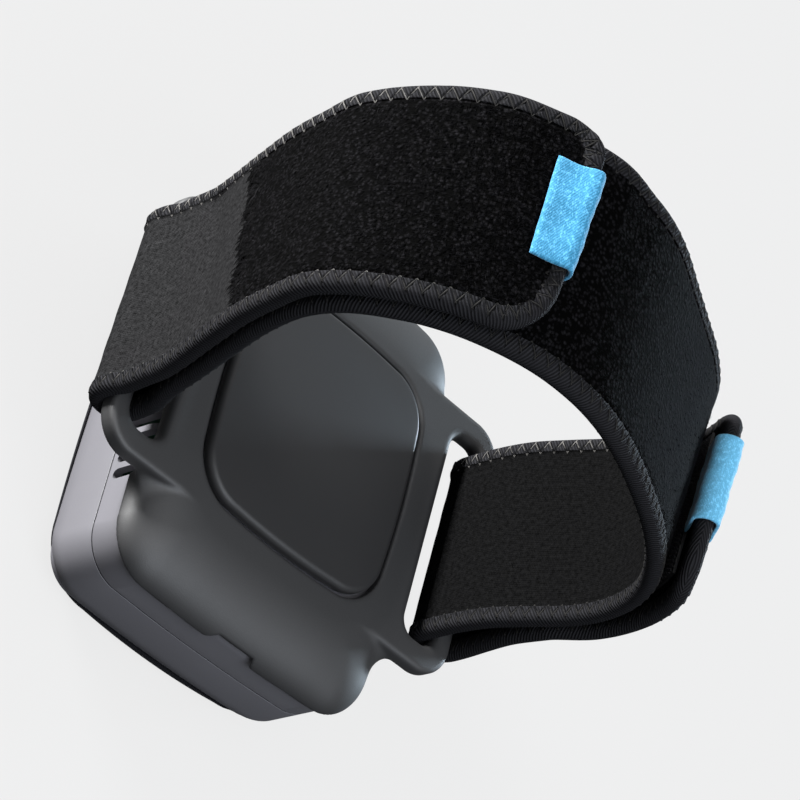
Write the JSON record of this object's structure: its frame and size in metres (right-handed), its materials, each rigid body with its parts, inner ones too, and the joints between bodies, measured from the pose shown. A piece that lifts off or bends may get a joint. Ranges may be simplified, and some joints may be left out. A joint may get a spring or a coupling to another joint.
{
  "type": "hot cold therapy machine",
  "caption": "Hand-held hot and cold therapy unit with a flat treatment plate, held in a soft winged cradle by a wide wrap strap with peel-back tails.",
  "frame": {"origin": "centre of the front cap's flat face, which the unit stands on", "axes": "+X from the wing under the long tail to the other wing, +Y towards the charging port, +Z out of the treatment plate"},
  "size_m": [0.1336, 0.1057, 0.1478],
  "materials": {
    "cap": "satin black",
    "lens": "clear over black",
    "component": "moulded",
    "circuit_board": "solder mask",
    "key": "fine texture",
    "shell": "satin metallic grey",
    "screw": "zinc plated",
    "battery": "laminated pouch",
    "steel": "plated",
    "brass": "machined",
    "bare_metal": "mill finish",
    "ceramic": "unglazed ceramic",
    "foam": "closed-cell foam",
    "plate": "fine dark coating",
    "cradle": "soft matt moulding",
    "strap": "loop-pile neoprene laminate, bound edges",
    "hook": "woven hook tape",
    "tab": "ribbed woven tape"
  },
  "bodies": {
    "unit": {"front_cap": "cap", "display_lens": "lens", "display_screen": "component", "panel_board": "circuit_board", "power_switch": "component", "mode_switch": "component", "front_shell": "shell", "case_screw_1": "screw", "case_screw_2": "screw", "case_screw_3": "screw", "case_screw_4": "screw", "battery_cell_left": "battery", "battery_cell_right": "battery", "main_board": "circuit_board", "control_chip": "component", "charging_port": "steel", "fan_frame": "component", "fan_bush": "brass", "heat_sink": "bare_metal", "cooling_module": "ceramic", "foam_ring": "foam", "temperature_sensor": "component", "rear_shell": "shell", "plate_seal": "foam", "treatment_plate": "plate"},
    "power_key": {"power_button": "key"},
    "mode_key": {"mode_button": "key"},
    "fan_spinner": {"fan_rotor": "component"},
    "cradle_assembly": {"cradle": "cradle", "strap_band": "strap"},
    "top_flap": {"strap_tail_top": "strap", "hook_pad_top": "hook", "pull_tab_top": "tab"},
    "side_flap": {"strap_tail_side": "strap", "hook_pad_side": "hook", "pull_tab_side": "tab"}
  },
  "joints": [
    {"name": "power_press", "type": "slide", "parent": "unit", "child": "power_key", "axis": [0, 0, 1], "range_m": [0, 0.0005], "stiffness_N_per_m": 3000},
    {"name": "mode_press", "type": "slide", "parent": "unit", "child": "mode_key", "axis": [0, 0, 1], "range_m": [0, 0.0005], "stiffness_N_per_m": 3000},
    {"name": "fan_spin", "type": "hinge", "parent": "unit", "child": "fan_spinner", "pos_m": [0, 0, 0.0225], "axis": [0, 0, 1], "continuous": true},
    {"name": "cradle_lift", "type": "slide", "parent": "unit", "child": "cradle_assembly", "axis": [0, 0, 1], "range_m": [0, 0.03]},
    {"name": "top_peel", "type": "hinge", "parent": "cradle_assembly", "child": "top_flap", "pos_m": [-0.069, 0.0015, 0.1004], "axis": [0, -1, 0], "range_deg": [0, 70]},
    {"name": "side_peel", "type": "hinge", "parent": "cradle_assembly", "child": "side_flap", "pos_m": [0.0617, 0.0015, 0.0698], "axis": [0, 1, 0], "range_deg": [0, 70]}
  ]
}
